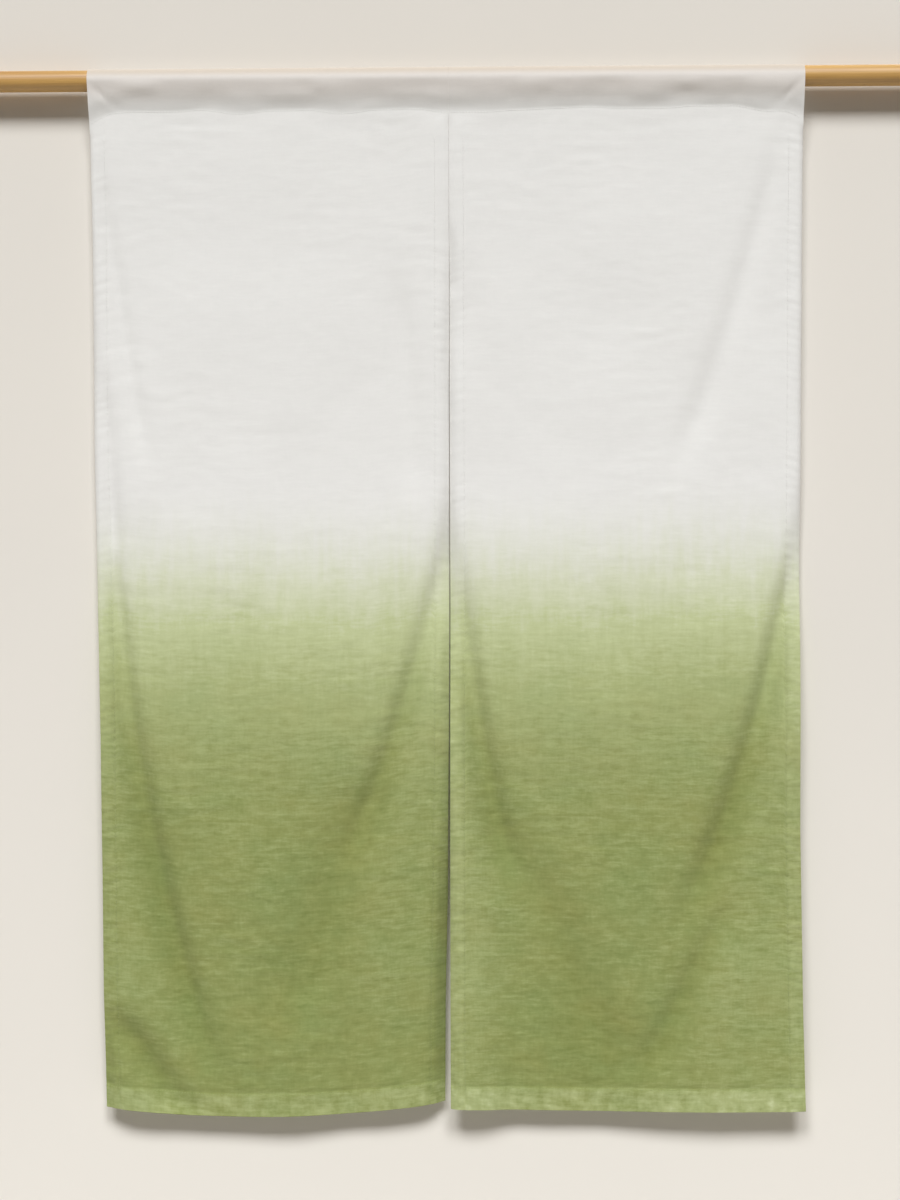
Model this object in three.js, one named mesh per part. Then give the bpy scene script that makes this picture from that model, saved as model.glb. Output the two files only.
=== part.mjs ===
// A doorway curtain of two dip-dyed linen panels, hung on a plain round wooden rod.
// Millimetres, +Z up, +X to the viewer's right, the front of the cloth towards -Y.
// The origin is on the rod's axis, above the seam between the two panels.
// A drop is a distance below the rod's axis.

import * as THREE from "three";

const { clamp, lerp, smoothstep } = THREE.MathUtils;

// Rod
const ROD_DIAMETER = 25;
const ROD_LENGTH = 1150;
const ROD_CHAMFER = 1.5;
const ROD_SIDES = 40;

// Cloth, with hems turned to the back
const CLOTH = 1.4;
const HEM_EXTRA = 1;
const HEM_STEP = 2;
const SIDE_HEM = 17;
const FOOT_HEM = 26;
const HEM_BELOW_SLEEVE = 20;

// Sleeve that holds the rod: the cloth falls in a soft S from the rod's front to the stitching.
// The stiff side hem holds the sleeve open at its outer end, so the S is longer there.
const ROD_CLEARANCE = 0.45;
const LAYER_GAP = 0.4;
const SLEEVE_DROP = 37;
const SLEEVE_TAIL = 3;
const SLEEVE_END = { reach: 38, sag: 42 };

// Grid of each panel
const COLUMNS_BETWEEN_HEMS = 28;
const SHEET_ROWS = 34;
const FRONT_ROWS = 4;
const OVER_ROWS = 10;
const BACK_ROWS = 4;

// Dye: bare cloth above, full colour below, eased between two drops
const DYE = { bare: "#e4e1dc", full: "#92a05c", fromDrop: 520, toDrop: 860 };

// The shares of their lines over which troughs sink in and run out, and swags run out at each side
const TROUGH_FADE = { start: 0.35, end: 0.22 };
const SWAG_FADE = 0.5;

// How wide troughs are at their heads and feet, as shares of their reaches
const TROUGH_WIDTH = { head: 0.85, foot: 1.5 };

// The length over which the edges begin to turn back
const ROLL_FADE = 220;

// The cloth on a trough's outer side comes forward over this reach, and down this share of its line
const FLANK = { reach: 55, start: 0.5 };

// One row for each panel.
// sections: where the two edges of the cloth lie at a drop.
// foot: the drop of the foot edge at its two corners and its middle.
// troughs: soft valleys from a point to an end point along a line bent by a power curve, with how far
//   the walls on their left and right reach, and how far a flank on the outer side comes forward.
//   The long ones sink from the edges to the middle of the foot.
// swags: faint drag lines that sag between the two edges.
// belly: the swell between the troughs, fullest at the foot.
// rolls: how far each edge turns back, and from which drop.
const PANELS = [
  {
    name: "panel_left",
    outerEdge: "left",
    sections: [
      { drop: -15, left: -429.5, right: -0.25 },
      { drop: 190, left: -425.2, right: -0.25 },
      { drop: 340, left: -424.7, right: -0.6 },
      { drop: 430, left: -424.4, right: -0.7 },
      { drop: 640, left: -420.2, right: -1.2 },
      { drop: 780, left: -416.6, right: -1.6 },
      { drop: 975, left: -414.4, right: -3.6 },
      { drop: 1100, left: -413.2, right: -6.5 },
      { drop: 1235, left: -411, right: -7.3 },
    ],
    foot: { left: 1222, middle: 1232, right: 1216 },
    troughs: [
      { x: -406, drop: 400, endX: -264, endDrop: 1230, curve: 2, depth: 11, left: 18, right: 16, flank: 5 },
      { x: 4, drop: 470, endX: -130, endDrop: 955, curve: 1.45, depth: 10, left: 16, right: 17, flank: 5 },
      { x: -88, drop: 780, endX: -200, endDrop: 1150, curve: 1.1, depth: 7.5, left: 38, right: 24 },
      { x: -410, drop: 70, endX: -366, endDrop: 450, curve: 1, depth: 4, left: 16, right: 16 },
      { x: -66, drop: 200, endX: -36, endDrop: 520, curve: 1, depth: 3.2, left: 16, right: 16 },
      { x: -410, drop: 1085, endX: -298, endDrop: 1250, curve: 1.15, depth: 10, left: 20, right: 22 },
    ],
    swags: [{ middleX: -215, halfSpan: 175, lowDrop: 430, rise: 150, depth: 0.4, reach: 30 }],
    belly: { middleX: -228, reach: 100, fromDrop: 520, lift: 5 },
    rolls: { reach: 18, fromDrop: 120, left: 4.5, right: 8 },
  },
  {
    name: "panel_right",
    outerEdge: "right",
    sections: [
      { drop: -15, left: 0.25, right: 420.6 },
      { drop: 190, left: 0.25, right: 418 },
      { drop: 340, left: 0.45, right: 416.8 },
      { drop: 620, left: 0.35, right: 414.6 },
      { drop: 900, left: -0.4, right: 413.5 },
      { drop: 1100, left: -0.6, right: 415.8 },
      { drop: 1235, left: -0.5, right: 419 },
    ],
    foot: { left: 1222, middle: 1225, right: 1224 },
    troughs: [
      { x: 10, drop: 500, endX: 82, endDrop: 985, curve: 1.85, depth: 11, left: 17, right: 16, flank: 9 },
      { x: 62, drop: 860, endX: 215, endDrop: 1210, curve: 1, depth: 5, left: 20, right: 28 },
      { x: 422, drop: 430, endX: 262, endDrop: 1035, curve: 1.7, depth: 11, left: 16, right: 18, flank: 5 },
      { x: 347, drop: 940, endX: 220, endDrop: 1195, curve: 1, depth: 6, left: 16, right: 16, flank: 3 },
      { x: 398, drop: 62, endX: 260, endDrop: 500, curve: 1.2, depth: 4, left: 16, right: 16 },
      { x: 402, drop: 560, endX: 362, endDrop: 790, curve: 1.1, depth: 3.5, left: 14, right: 14 },
      { x: 120, drop: 1000, endX: 195, endDrop: 1330, curve: 1, depth: 4, left: 45, right: 38 },
    ],
    swags: [{ middleX: 190, halfSpan: 175, lowDrop: 445, rise: 130, depth: 0.5, reach: 26 }],
    belly: { middleX: 205, reach: 90, fromDrop: 540, lift: 4 },
    rolls: { reach: 15, fromDrop: 120, left: 4.5, right: 2 },
  },
];

const ROD_RADIUS = ROD_DIAMETER / 2;
const SLEEVE_RADIUS = ROD_RADIUS + ROD_CLEARANCE + CLOTH / 2;
const LAYER_OFFSET = (CLOTH + LAYER_GAP) / 2;

const ease = (share) => smoothstep(share, 0, 1);
const bell = (share) => Math.exp(-share * share);

// Where the panel's two edges lie at a drop
function edgesAt({ sections }, drop) {
  let next = 1;
  while (next < sections.length - 1 && drop > sections[next].drop) next += 1;
  const [above, below] = [sections[next - 1], sections[next]];
  const share = (drop - above.drop) / (below.drop - above.drop);
  return { left: lerp(above.left, below.left, share), right: lerp(above.right, below.right, share) };
}

// Drop of the foot edge, a shallow arc through its corners and its middle
function footDrop({ foot }, across) {
  const chord = lerp(foot.left, foot.right, across);
  const sag = foot.middle - (foot.left + foot.right) / 2;
  return chord + sag * 4 * across * (1 - across);
}

// Drop at which the front of the sleeve has come back to the plane of the sheet
function sleeveFoot({ outerEdge, sections }, across) {
  const width = sections[0].right - sections[0].left;
  const fromEnd = (outerEdge === "left" ? across : 1 - across) * width;
  const end = Math.max(0, 1 - fromEnd / SLEEVE_END.reach);
  return SLEEVE_DROP + SLEEVE_END.sag * end * end;
}

// The valley runs out at the end of its line, and the flank outside it goes on down to the foot
function troughDepth(trough, x, drop) {
  const along = clamp((drop - trough.drop) / (trough.endDrop - trough.drop), 0, 1);
  const lineX = lerp(trough.x, trough.endX, along ** trough.curve);
  const reach = (x < lineX ? trough.left : trough.right) * lerp(TROUGH_WIDTH.head, TROUGH_WIDTH.foot, along);
  const fade = ease(along / TROUGH_FADE.start) * ease((1 - along) / TROUGH_FADE.end);
  const outward = (lineX - x) * Math.sign(trough.endX - trough.x);
  const flank = (trough.flank ?? 0) * ease(along / FLANK.start) * ease(outward / FLANK.reach);
  return trough.depth * fade * bell((x - lineX) / reach) - flank;
}

function swagDepth(swag, x, drop) {
  const aside = (x - swag.middleX) / swag.halfSpan;
  const lineDrop = swag.lowDrop - swag.rise * aside * aside;
  return swag.depth * ease((1 - Math.abs(aside)) / SWAG_FADE) * bell((drop - lineDrop) / swag.reach);
}

// How far behind the sleeve's stitching the cloth lies at a point of the panel
function drape(panel, x, drop) {
  const { troughs, swags, belly, rolls, foot } = panel;
  const edges = edgesAt(panel, drop);
  const fullness = ease((drop - belly.fromDrop) / (foot.middle - belly.fromDrop));
  const turning = ease((drop - rolls.fromDrop) / ROLL_FADE);
  const leftEdge = Math.max(0, 1 - (x - edges.left) / rolls.reach);
  const rightEdge = Math.max(0, 1 - (edges.right - x) / rolls.reach);
  let depth = -belly.lift * fullness * bell((x - belly.middleX) / belly.reach);
  depth += turning * (rolls.left * leftEdge ** 2 + rolls.right * rightEdge ** 2);
  for (const trough of troughs) depth += troughDepth(trough, x, drop);
  for (const swag of swags) depth += swagDepth(swag, x, drop);
  return depth;
}

// Stations up the cloth: foot hem, sheet, front of the sleeve, over the rod, and down its back
function makeStations() {
  const stations = [0, FOOT_HEM, FOOT_HEM + HEM_STEP].map((rise) => ({ zone: "hem", rise }));
  const add = (zone, count) => {
    for (let k = 1; k <= count; k += 1) stations.push({ zone, share: k / count });
  };
  add("sheet", SHEET_ROWS);
  add("front", FRONT_ROWS);
  add("over", OVER_ROWS);
  add("back", BACK_ROWS);
  return stations;
}

// Columns across the cloth: both side hems and even steps between them, as widths from the left edge
function columnsAcross(width) {
  const inner = SIDE_HEM + HEM_STEP;
  const columns = [0, SIDE_HEM];
  for (let k = 0; k <= COLUMNS_BETWEEN_HEMS; k += 1) {
    columns.push(lerp(inner, width - inner, k / COLUMNS_BETWEEN_HEMS));
  }
  return [...columns, width - SIDE_HEM, width];
}

const STATIONS = makeStations();
const COLUMN_COUNT = columnsAcross(1).length;

// The drop and depth of a station at a share of the way across a panel
function sectionPoint(panel, across, { zone, rise, share }) {
  const foot = footDrop(panel, across);
  const top = sleeveFoot(panel, across);
  const sheetStart = foot - FOOT_HEM - HEM_STEP;
  const bulge = SLEEVE_RADIUS - LAYER_OFFSET;
  switch (zone) {
    case "hem":
      return { drop: foot - rise, depth: -LAYER_OFFSET, drapes: true };
    case "sheet":
      return { drop: lerp(sheetStart, top, share), depth: -LAYER_OFFSET, drapes: true };
    case "front":
      return { drop: lerp(top, 0, share), depth: -LAYER_OFFSET - bulge * ease(share) };
    case "over": {
      const angle = Math.PI * share;
      return { drop: -SLEEVE_RADIUS * Math.sin(angle), depth: -SLEEVE_RADIUS * Math.cos(angle) };
    }
    default: {
      const drop = share * (SLEEVE_DROP + SLEEVE_TAIL);
      return { drop, depth: SLEEVE_RADIUS - bulge * ease(drop / SLEEVE_DROP) };
    }
  }
}

// A point on the middle of the cloth's thickness
function clothPoint(panel, column, station) {
  const top = edgesAt(panel, 0);
  const topWidth = top.right - top.left;
  const across = columnsAcross(topWidth)[column] / topWidth;
  const { drop, depth, drapes } = sectionPoint(panel, across, station);
  const edges = edgesAt(panel, Math.max(drop, 0));
  const x = edges.left + columnsAcross(edges.right - edges.left)[column];
  return new THREE.Vector3(x, depth + (drapes ? drape(panel, x, drop) : 0), -drop);
}

// What the turned hems add to the back of the cloth at a grid point
function hemThickness(column, row, drop) {
  const { zone, rise } = STATIONS[row];
  const footHem = zone === "hem" && rise <= FOOT_HEM;
  const sideHem = column <= 1 || column >= COLUMN_COUNT - 2;
  const belowSleeve = zone === "hem" || zone === "sheet";
  if (!belowSleeve) return 0;
  const clear = ease((drop - SLEEVE_DROP - SLEEVE_TAIL) / HEM_BELOW_SLEEVE);
  return footHem || sideHem ? HEM_EXTRA * clear : 0;
}

// A slab of one layer of cells, bent so that each cell follows the cloth
function panelGeometry(panel) {
  const columns = COLUMN_COUNT - 1;
  const rows = STATIONS.length - 1;
  const middle = STATIONS.map((station) => {
    return Array.from({ length: COLUMN_COUNT }, (_, column) => clothPoint(panel, column, station));
  });
  const normalAt = (column, row) => {
    const up = middle[Math.min(row + 1, rows)][column].clone();
    up.sub(middle[Math.max(row - 1, 0)][column]);
    const right = middle[row][Math.min(column + 1, columns)].clone();
    right.sub(middle[row][Math.max(column - 1, 0)]);
    return up.cross(right).normalize();
  };
  const geometry = new THREE.BoxGeometry(columns, 1, rows, columns, 1, rows);
  const position = geometry.getAttribute("position");
  const colours = [];
  const bare = new THREE.Color(DYE.bare);
  const full = new THREE.Color(DYE.full);
  for (let k = 0; k < position.count; k += 1) {
    const column = Math.round(position.getX(k) + columns / 2);
    const row = Math.round(position.getZ(k) + rows / 2);
    const point = middle[row][column];
    const onBack = position.getY(k) > 0;
    const offset = onBack ? CLOTH / 2 + hemThickness(column, row, -point.z) : -CLOTH / 2;
    const placed = normalAt(column, row).multiplyScalar(offset).add(point);
    position.setXYZ(k, placed.x, placed.y, placed.z);
    const dyed = ease((-point.z - DYE.fromDrop) / (DYE.toDrop - DYE.fromDrop));
    colours.push(...bare.clone().lerp(full, dyed).toArray());
  }
  geometry.setAttribute("color", new THREE.Float32BufferAttribute(colours, 3));
  geometry.computeVertexNormals();
  return geometry;
}

function makePanel(panel) {
  const linen = new THREE.MeshStandardMaterial({ vertexColors: true, roughness: 0.92, metalness: 0 });
  const mesh = new THREE.Mesh(panelGeometry(panel), linen);
  mesh.name = panel.name;
  return mesh;
}

// The rod is turned about its own axis, with its ends eased
function makeRod() {
  const half = ROD_LENGTH / 2;
  const eased = ROD_RADIUS - ROD_CHAMFER;
  const profile = [
    new THREE.Vector2(0, -half),
    new THREE.Vector2(eased, -half),
    new THREE.Vector2(ROD_RADIUS, ROD_CHAMFER - half),
    new THREE.Vector2(ROD_RADIUS, half - ROD_CHAMFER),
    new THREE.Vector2(eased, half),
    new THREE.Vector2(0, half),
  ];
  const wood = new THREE.MeshStandardMaterial({ color: "#c79a5c", roughness: 0.55, metalness: 0 });
  const mesh = new THREE.Mesh(new THREE.LatheGeometry(profile, ROD_SIDES), wood);
  mesh.rotation.z = -Math.PI / 2;
  mesh.name = "rod";
  return mesh;
}

const curtain = new THREE.Group();
curtain.add(makeRod(), ...PANELS.map(makePanel));

export default curtain;
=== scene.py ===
"""A doorway curtain of two dip-dyed linen panels on a wooden rod, with the stage it hangs in."""

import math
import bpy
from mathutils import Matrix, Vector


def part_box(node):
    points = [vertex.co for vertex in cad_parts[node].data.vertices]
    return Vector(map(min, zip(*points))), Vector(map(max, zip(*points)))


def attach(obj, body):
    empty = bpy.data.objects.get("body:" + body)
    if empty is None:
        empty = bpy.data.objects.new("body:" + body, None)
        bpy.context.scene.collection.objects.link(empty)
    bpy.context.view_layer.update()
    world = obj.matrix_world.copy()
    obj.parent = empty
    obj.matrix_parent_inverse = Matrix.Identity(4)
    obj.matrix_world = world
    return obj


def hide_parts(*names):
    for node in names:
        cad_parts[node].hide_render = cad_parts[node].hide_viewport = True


bl_info = {
    "name": "Dip-Dyed Doorway Curtain",
    "version": (1, 0, 0),
    "blender": (4, 5, 0),
    "location": "View3D > Sidebar > Curtain",
    "description": "Builds a two-panel linen doorway curtain on its wooden rod",
    "category": "Add Mesh",
}

from collections import namedtuple
from functools import lru_cache, partial

import bpy
import numpy as np
from mathutils import Quaternion, Vector

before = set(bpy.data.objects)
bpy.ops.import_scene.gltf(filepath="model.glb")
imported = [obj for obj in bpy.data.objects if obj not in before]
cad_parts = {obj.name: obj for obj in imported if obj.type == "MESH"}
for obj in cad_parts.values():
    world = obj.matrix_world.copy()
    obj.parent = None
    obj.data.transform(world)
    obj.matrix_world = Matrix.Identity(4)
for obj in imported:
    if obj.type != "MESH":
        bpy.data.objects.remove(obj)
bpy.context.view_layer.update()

# Sizes in the shape tables are millimetres, as in the solids, and meshes are metres.
MM = 0.001

ROD_LOW, ROD_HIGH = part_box("rod")
ROD_RADIUS = (ROD_HIGH.z - ROD_LOW.z) / 2
ROD_LENGTH = ROD_HIGH.x - ROD_LOW.x

# The shapes of the two panels. A drop is a distance below the rod's axis, and depths run to the back.
Section = namedtuple("Section", "drop left right")
Foot = namedtuple("Foot", "left middle right")
Trough = namedtuple("Trough", "x drop end_x end_drop curve depth left right flank")
Swag = namedtuple("Swag", "middle_x half_span low_drop rise depth reach")
Belly = namedtuple("Belly", "middle_x reach from_drop lift")
Rolls = namedtuple("Rolls", "reach from_drop left right")
PanelShape = namedtuple(
    "PanelShape", "node outer_edge sections foot troughs swags belly rolls side_bloom foot_bloom seed"
)

PANELS = (
    PanelShape(
        node="panel_left",
        outer_edge="left",
        sections=(
            Section(-15, -429.5, 0),
            Section(190, -425.2, 0),
            Section(430, -424.4, -0.5),
            Section(640, -420.2, -1.1),
            Section(780, -416.6, -1.6),
            Section(975, -414.4, -3.6),
            Section(1100, -413.2, -6.5),
            Section(1235, -411, -7.3),
        ),
        foot=Foot(1222, 1232, 1216),
        troughs=(
            Trough(-406, 400, -264, 1230, 2.1, 11, 17, 11.5, 5),
            Trough(4, 470, -130, 955, 1.45, 10, 11.5, 16, 2),
            Trough(-88, 780, -200, 1150, 1.1, 7.5, 38, 24, 0),
            Trough(-418, 50, -358, 480, 1.35, 3.8, 8, 9, 0),
            Trough(-413, 330, -398, 570, 1, 4, 8, 9, 0),
            Trough(-66, 200, -36, 520, 1, 3.2, 14, 14, 0),
            Trough(-410, 1085, -298, 1250, 1.15, 10, 20, 22, 0),
            Trough(-411, 1100, -408, 1300, 1, 6, 12, 12, 0),
            Trough(1, 470, 0, 800, 1, 3.5, 12, 12, 0),
            Trough(-2, 860, -8, 1330, 1, 9, 14, 14, 0),
        ),
        swags=(Swag(-215, 175, 430, 150, 0.4, 30),),
        belly=Belly(-228, 100, 520, 5),
        rolls=Rolls(18, 120, 4.5, 7),
        # Painted light: the outer hem a little paler, and the foot hem paler
        side_bloom=0.05,
        foot_bloom=1,
        seed=11,
    ),
    PanelShape(
        node="panel_right",
        outer_edge="right",
        sections=(
            Section(-15, 0, 420.6),
            Section(190, 0, 418),
            Section(620, 0.2, 414.6),
            Section(900, -0.4, 413.5),
            Section(1100, -0.6, 415.8),
            Section(1235, -0.5, 419),
        ),
        foot=Foot(1222, 1225, 1224),
        troughs=(
            Trough(10, 500, 82, 985, 1.85, 11, 16, 10.5, 9),
            Trough(62, 860, 215, 1210, 1, 5, 20, 28, 0),
            Trough(422, 430, 262, 1035, 1.7, 11, 13, 18, 4.5),
            Trough(347, 940, 220, 1195, 1, 6, 13, 16, 3),
            Trough(398, 20, 260, 500, 1.3, 4, 12, 14, 0),
            Trough(402, 560, 362, 790, 1.1, 3.5, 10, 12, 0),
            Trough(120, 1000, 195, 1330, 1, 4, 45, 38, 0),
            Trough(-1, 470, 0, 770, 1, 5, 9, 9, 0),
            Trough(1, 170, 1, 262, 1, 3, 4.5, 6.5, 0),
        ),
        swags=(Swag(190, 175, 445, 130, 0.5, 26),),
        belly=Belly(205, 90, 540, 4),
        rolls=Rolls(15, 120, 5.5, 2),
        # Painted light: the outer hem much paler, for the light falling on this edge, and the foot hem
        # paler
        side_bloom=0.5,
        foot_bloom=1.4,
        seed=61,
    ),
)

# The shares of their lines over which troughs sink in and run out, and swags run out at each side
TROUGH_START, TROUGH_END = 0.35, 0.22
SWAG_FADE = 0.5
# How wide troughs are at their heads and feet, as shares of their reaches
TROUGH_HEAD, TROUGH_FOOT = 0.85, 1.5

# The length over which the edges begin to turn back or forward
ROLL_FADE = 220

# The cloth on a trough's outer side comes forward over this reach, and down this share of its line
FLANK_REACH, FLANK_START = 55, 0.5

# Sleeve: the cloth falls in a soft S from the rod's front to the stitching, longer at the open end
SLEEVE_CLEARANCE = 0.25
LAYER_GAP = 0.3
SLEEVE_TAIL = 3
SLEEVE_END_REACH, SLEEVE_END_SAG = 34, 14
SLEEVE_WAVE, SLEEVE_WAVE_PITCH = 3.5, 42
SLEEVE_CURVE = 1.3
SLEEVE_DENTS, SLEEVE_DENT_ROWS = ((1.1, 46), (0.5, 19)), 2.5
SLEEVE_SEED = 5
SLEEVE_CREASE, CREASE_SPAN, CREASE_REACH = 1.1, 38, 5
SLEEVE_STITCH = 1
HEM_BELOW_SLEEVE = 20

# Painted shade on the sleeve: the drops down its front over which the shade for the wood behind and the
# bulge's underside fades out, and the height above the rod's axis over which the shade on its top grows
SLEEVE_SHADE_FROM, SLEEVE_SHADE_TO = 8, 36
CROWN_SHADE_RISE = 9

# Seam between the panels, open below the slit's head
SLIT_HEAD, SEAM_FADE = 190, 24

# Low relief: turned edges, puckers of the hems, stitch lines and the cloth's own unevenness
EDGE_TURN, EDGE_REACH = 3.6, 5.5
SLIT_TURN, SLIT_REACH = 2.4, 9
SIDE_PUCKER, SIDE_PUCKER_PITCH, SIDE_PUCKER_SLANT, SIDE_PUCKER_FROM = 0.5, 10.5, 0.3, 0.6
FOOT_PUCKER, FOOT_PUCKER_PITCH, FOOT_PUCKER_SLANT, FOOT_PUCKER_FROM = 0.6, 15, 0.9, 0.8
PUCKER_DRIFT, PUCKER_DRIFT_PITCH = 0.7, 30
PUCKER_SWELL, PUCKER_SWELL_ROW = 0.4, 7.5
STITCH_GROOVE, STITCH_REACH, STITCH_PULL = 0.6, 2.0, 0.4
HEM_RIDGE, HEM_RIDGE_REACH = 0.5, 2.4
UNEVEN, UNEVEN_WIDTH, UNEVEN_HEIGHT = 1.4, 62, 95
DIMPLE, DIMPLE_WIDTH, DIMPLE_HEIGHT = 0.14, 14, 12
NOISE_CELLS = 512

# Small wrinkles lie across the cloth in patches, and the dyed cloth has more of them
CRUMPLES = ((0.24, 16, 5), (0.34, 40, 9), (0.2, 75, 6))
CRUMPLE_BEND, BEND_WIDTH, BEND_HEIGHT = 7, 34, 60
PATCH_MEAN, PATCH_WIDTH, PATCH_HEIGHT = 0.75, 80, 70
BARE_RELIEF, RELIEF_FROM, RELIEF_TO = 0.4, 500, 760

# Grid of a panel: spacing between the hems, up the sheet, round the sleeve and across the hems
COLUMN_PITCH = 5.6
ROW_PITCH = 3
SLEEVE_ROWS = (18, 18, 14)
HEM_SHARES = (0, 0.05, 0.18, 0.36, 0.56, 0.76)
LINE_STEPS = (-1.4, -0.7, 0, 0.7, 1.4, 3.2, 6)
HEM_ROUNDING = 0.01

# A stitch's rings: the share of its length, and its girth and lift in threads
STITCH_RINGS = ((0.0, 0.35, -0.15), (0.22, 1.0, 0.3), (0.78, 1.0, 0.3), (1.0, 0.35, -0.15))
STITCH_HALF_WIDTH, STITCH_HALF_HEIGHT = 0.5, 0.4

# Dye: the curve along which it builds up, the share at which the cloth is pale, and the ramp's stops
DYE_CURVE = 2.39
PALE_SHARE = 0.35
DYE_STOPS = (0, 0.17, 0.35, 0.62, 1, 1.25)
# Where the dye climbed higher up the cloth, or less high
Climb = namedtuple("Climb", "x reach height")
CLIMBS = (Climb(305, 85, 9), Climb(-250, 25, 4), Climb(-120, 40, -4), Climb(-345, 40, -3))
# Depth of a trough, and lift of a flank, at which the painted shade in the trough and the painted light on
# the flank are full
FOLD_SHADE_DEPTH, FLANK_LIGHT_LIFT = 9, 9
# How much darker the cloth is made near the foot, and the drops over which it darkens
FOOT_TONE, FOOT_TONE_FROM, FOOT_TONE_TO = 0.4, 1070, 1140
# How softly the painted light of the hems ends, as shares of the side and foot hems
SIDE_LIGHT_FADE, FOOT_LIGHT_FADE = 0.6, 0.3

# Noises of the materials, in swells a metre along each axis
Swells = namedtuple("Swells", "scale detail roughness", defaults=(2.0, 0.5))
CLOUDS = Swells((26, 1, 6), 3.0)
WICKS = Swells((90, 1, 14), 3.0)
HUES = Swells((11, 13, 9), 3.0, 0.6)
SLUBS = Swells((60, 300, 1), 2.0, 0.6)
SLUB_PATCHES = Swells((14, 24, 1))
WARP = Swells((330, 60, 1), 2.0, 0.6)
MOTTLE = Swells((50, 90, 1), 3.0, 0.75)
STREAKS = Swells((16, 190, 1))
HEM_LIGHT_PATCHES = Swells((70, 60, 1))
YARNS = Swells((900, 1100, 1), 1.0)
TWIST = Swells((900, 900, 900))
GRAIN = Swells((3.5, 240, 240), 4.0, 0.6)
BANDS = Swells((1.2, 45, 45))
PORES = Swells((28, 1500, 1500))
STAGE_MOTTLE = Swells((2, 2, 2), 3.0)
# The values between which such a noise mostly lies
NOISE_LOW, NOISE_HIGH = 0.25, 0.75

# What the noises change: the dye's start in metres, tones, and the height of the relief in metres
CLOUD_REACH, WICK_REACH = 0.007, 0.012
SLUB_TONE, WARP_TONE, MOTTLE_TONE, STREAK_TONE = 0.11, 0.05, 0.12, 0.07
SLUB_RANGE = (0.4, 1.6)
HEM_LIGHT_RANGE = (0.2, 1.6)
TWIST_RANGE = (0.85, 1.1)
PORE_RANGE = (0.94, 1.04)
STAGE_RANGE = (0.985, 1.015)
GRAIN_ROUGHNESS = (0.52, 0.38)
BAND_SHARE, DARK_GRAIN, LIGHT_GRAIN = 0.4, 0.36, 0.58
WEAVE_RELIEF, GRAIN_RELIEF = 0.00006, 0.0001

# Stage: its reach in metres, the places and powers of its lights, and the light from all round
STAGE_HALF_WIDTH, FLOOR_FRONT, FLOOR_BACK, BACKDROP_TOP = 2.5, -2.6, 1.6, 1.0
LIGHTS = (
    ("left_light", (-0.6, -2.2, 2.5), 1.96),
    ("right_light", (0.5, -2.2, 2.5), 1.96),
    ("back_light", (0.5, 2.0, 1.6), 1.0),
)
LIGHT_COLOUR, LIGHT_ANGLE = (0.95, 0.97, 1.0), math.radians(18)
AIR_COLOUR, AIR_STRENGTH = (1.0, 0.86, 0.69), 0.12


def setting(kind, name, description, default, **rules):
    """A setting of a PropertyGroup."""
    return kind(name=name, description=description, default=default, **rules)


# Lengths are in metres, angles in radians, shares run from 0 to 1, and colours are linear.
length = partial(setting, bpy.props.FloatProperty, min=0.0, precision=4, subtype="DISTANCE", unit="LENGTH")
angle = partial(setting, bpy.props.FloatProperty, subtype="ANGLE", unit="ROTATION")
share = partial(setting, bpy.props.FloatProperty, min=0.0, max=1.0, subtype="FACTOR")
colour = partial(setting, bpy.props.FloatVectorProperty, size=3, min=0.0, max=1.0, subtype="COLOR")


class ClothSettings(bpy.types.PropertyGroup):
    """Sizes of the sewn cloth."""

    thickness: length("Thickness", "Thickness of one layer of linen", 0.0008)
    hem_thickness: length("Hem Thickness", "Thickness of a turned hem", 0.0021)
    side_hem: length("Side Hem", "Width of the hems down both sides of a panel", 0.017)
    foot_hem: length("Foot Hem", "Height of the hem along a panel's foot", 0.026)
    sleeve_drop: length("Sleeve Drop", "How far the sleeve's stitching lies below the rod's axis", 0.037)
    edge_round: length("Edge Rounding", "Rounding of the folded edges", 0.0003)
    cut_width: length("Cut Width", "Width of a panel's cloth before sewing", 0.470)
    cut_length: length("Cut Length", "Length of a panel's cloth before sewing", 1.352)


class StitchSettings(bpy.types.PropertyGroup):
    """Sizes of the sewing stitches."""

    stitch: length("Stitch", "Length of thread that shows in one stitch", 0.0026)
    pitch: length("Pitch", "Distance from one stitch to the next", 0.0036)
    thread: length("Thread", "Thickness of the sewing thread", 0.0005)


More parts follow.
